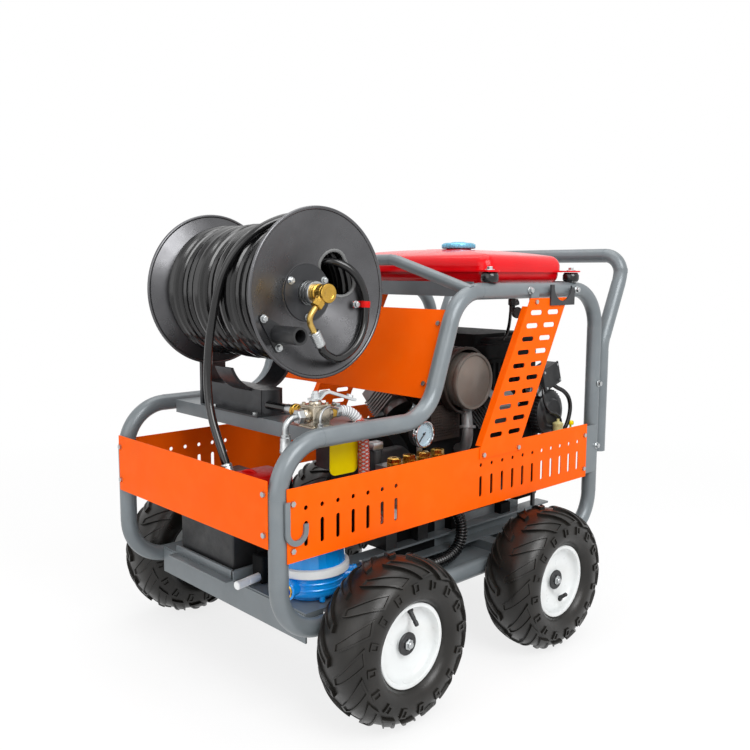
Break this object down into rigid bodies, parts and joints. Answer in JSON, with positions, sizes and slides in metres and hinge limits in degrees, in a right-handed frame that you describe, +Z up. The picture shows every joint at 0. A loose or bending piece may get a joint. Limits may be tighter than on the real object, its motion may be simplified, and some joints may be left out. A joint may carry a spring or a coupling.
{
  "type": "drain jetter",
  "caption": "Engine-driven drain jetter in a tubular frame on fixed pneumatic wheels, with a hose reel on a front shelf, pump, ball valve, filter, fuel tank and push handle.",
  "frame": {"origin": "on the ground under the middle of the machine's box, leaving the free hose out", "axes": "+X to the push handle, -X to the reel and front panel, -Y to the side with the hose hooks, +Z up"},
  "size_m": [1.2758, 0.946, 1.0675],
  "materials": {
    "frame_paint": "satin",
    "orange_powder": "satin powder coat",
    "zinc_steel": "zinc plated",
    "axle_steel": "satin",
    "tyre_rubber": "moulded",
    "rim_white": "gloss",
    "tank_red": "gloss",
    "cap_blue": "gloss",
    "rubber_black": "matt",
    "black_plastic": "fine grain",
    "engine_black": "satin",
    "cast_alloy": "as cast",
    "muffler_grey": "heat-proof matt",
    "brass": "polished",
    "gauge_chrome": "polished",
    "needle_black": "matt",
    "clear_braid": "clear with a red braid",
    "reel_paint": "gloss",
    "filter_blue": "gloss",
    "relay_red": "gloss"
  },
  "bodies": {
    "chassis": {"side_frame_near": "frame_paint", "side_frame_far": "frame_paint", "base_frame": "frame_paint", "front_axle": "axle_steel", "rear_axle": "axle_steel", "reel_shelf": "frame_paint", "tank_guard": "frame_paint", "tank_bars": "frame_paint", "push_handle": "frame_paint", "side_panel_near": "orange_powder", "side_panel_far": "orange_powder", "front_panel": "orange_powder", "sloped_panel": "orange_powder", "slotted_strip_near": "orange_powder", "slotted_strip_far": "orange_powder", "hose_hooks": "frame_paint", "panel_bolts": "zinc_steel", "axle_nuts": "zinc_steel", "fuel_tank": "tank_red", "tank_mounts": "rubber_black", "engine_block": "engine_black", "engine_cylinders": "cast_alloy", "blower_housing": "black_plastic", "muffler": "muffler_grey", "heat_shield": "muffler_grey", "air_cleaner": "black_plastic", "control_box": "black_plastic", "pump_crankcase": "engine_black", "pump_head": "zinc_steel", "pump_caps": "brass", "pressure_gauge": "gauge_chrome", "valve_body": "zinc_steel", "hose_fittings": "brass", "delivery_hose": "rubber_black", "bypass_hose": "clear_braid", "suction_hose": "rubber_black", "reel_stand": "reel_paint", "reel_axle": "zinc_steel", "free_hose": "rubber_black", "hose_end": "zinc_steel", "water_filter": "filter_blue", "battery": "black_plastic", "relay_cover": "relay_red"},
    "wheel_front_near": {"tyre_front_near": "tyre_rubber", "rim_front_near": "rim_white"},
    "wheel_front_far": {"tyre_front_far": "tyre_rubber", "rim_front_far": "rim_white"},
    "wheel_rear_near": {"tyre_rear_near": "tyre_rubber", "rim_rear_near": "rim_white"},
    "wheel_rear_far": {"tyre_rear_far": "tyre_rubber", "rim_rear_far": "rim_white"},
    "reel": {"reel_drum": "reel_paint", "reel_swivel": "brass", "whip_hose": "rubber_black", "crank_handle": "black_plastic", "wound_hose": "rubber_black"},
    "valve_lever": {"valve_lever": "zinc_steel"},
    "fuel_cap": {"fuel_cap": "cap_blue"},
    "fuel_tap": {"fuel_tap": "black_plastic"},
    "gauge_needle": {"gauge_needle": "needle_black"}
  },
  "joints": [
    {"name": "front_near_spin", "type": "hinge", "parent": "chassis", "child": "wheel_front_near", "pos_m": [-0.3841, -0.403, 0.1775], "axis": [0, 1, 0], "continuous": true},
    {"name": "front_far_spin", "type": "hinge", "parent": "chassis", "child": "wheel_front_far", "pos_m": [-0.3841, 0.403, 0.1775], "axis": [0, 1, 0], "continuous": true},
    {"name": "rear_near_spin", "type": "hinge", "parent": "chassis", "child": "wheel_rear_near", "pos_m": [0.1419, -0.403, 0.1775], "axis": [0, 1, 0], "continuous": true},
    {"name": "rear_far_spin", "type": "hinge", "parent": "chassis", "child": "wheel_rear_far", "pos_m": [0.1419, 0.403, 0.1775], "axis": [0, 1, 0], "continuous": true},
    {"name": "reel_spin", "type": "hinge", "parent": "chassis", "child": "reel", "pos_m": [-0.4331, -0.024, 0.8876], "axis": [0, 1, 0], "continuous": true},
    {"name": "valve_turn", "type": "hinge", "parent": "chassis", "child": "valve_lever", "pos_m": [-0.4581, -0.238, 0.6716], "axis": [0, 0, 1], "range_deg": [0, 90]},
    {"name": "cap_turn", "type": "hinge", "parent": "chassis", "child": "fuel_cap", "pos_m": [0.1929, -0.062, 1], "axis": [0, 0, 1], "range_deg": [0, 90]},
    {"name": "tap_turn", "type": "hinge", "parent": "chassis", "child": "fuel_tap", "pos_m": [0.2329, -0.19, 0.889], "axis": [0, 0, 1], "range_deg": [0, 90]},
    {"name": "needle_swing", "type": "hinge", "parent": "chassis", "child": "gauge_needle", "pos_m": [-0.1061, -0.226, 0.5446], "axis": [0, 1, 0], "range_deg": [0, 270], "stiffness_Nm_per_rad": 0.001}
  ]
}
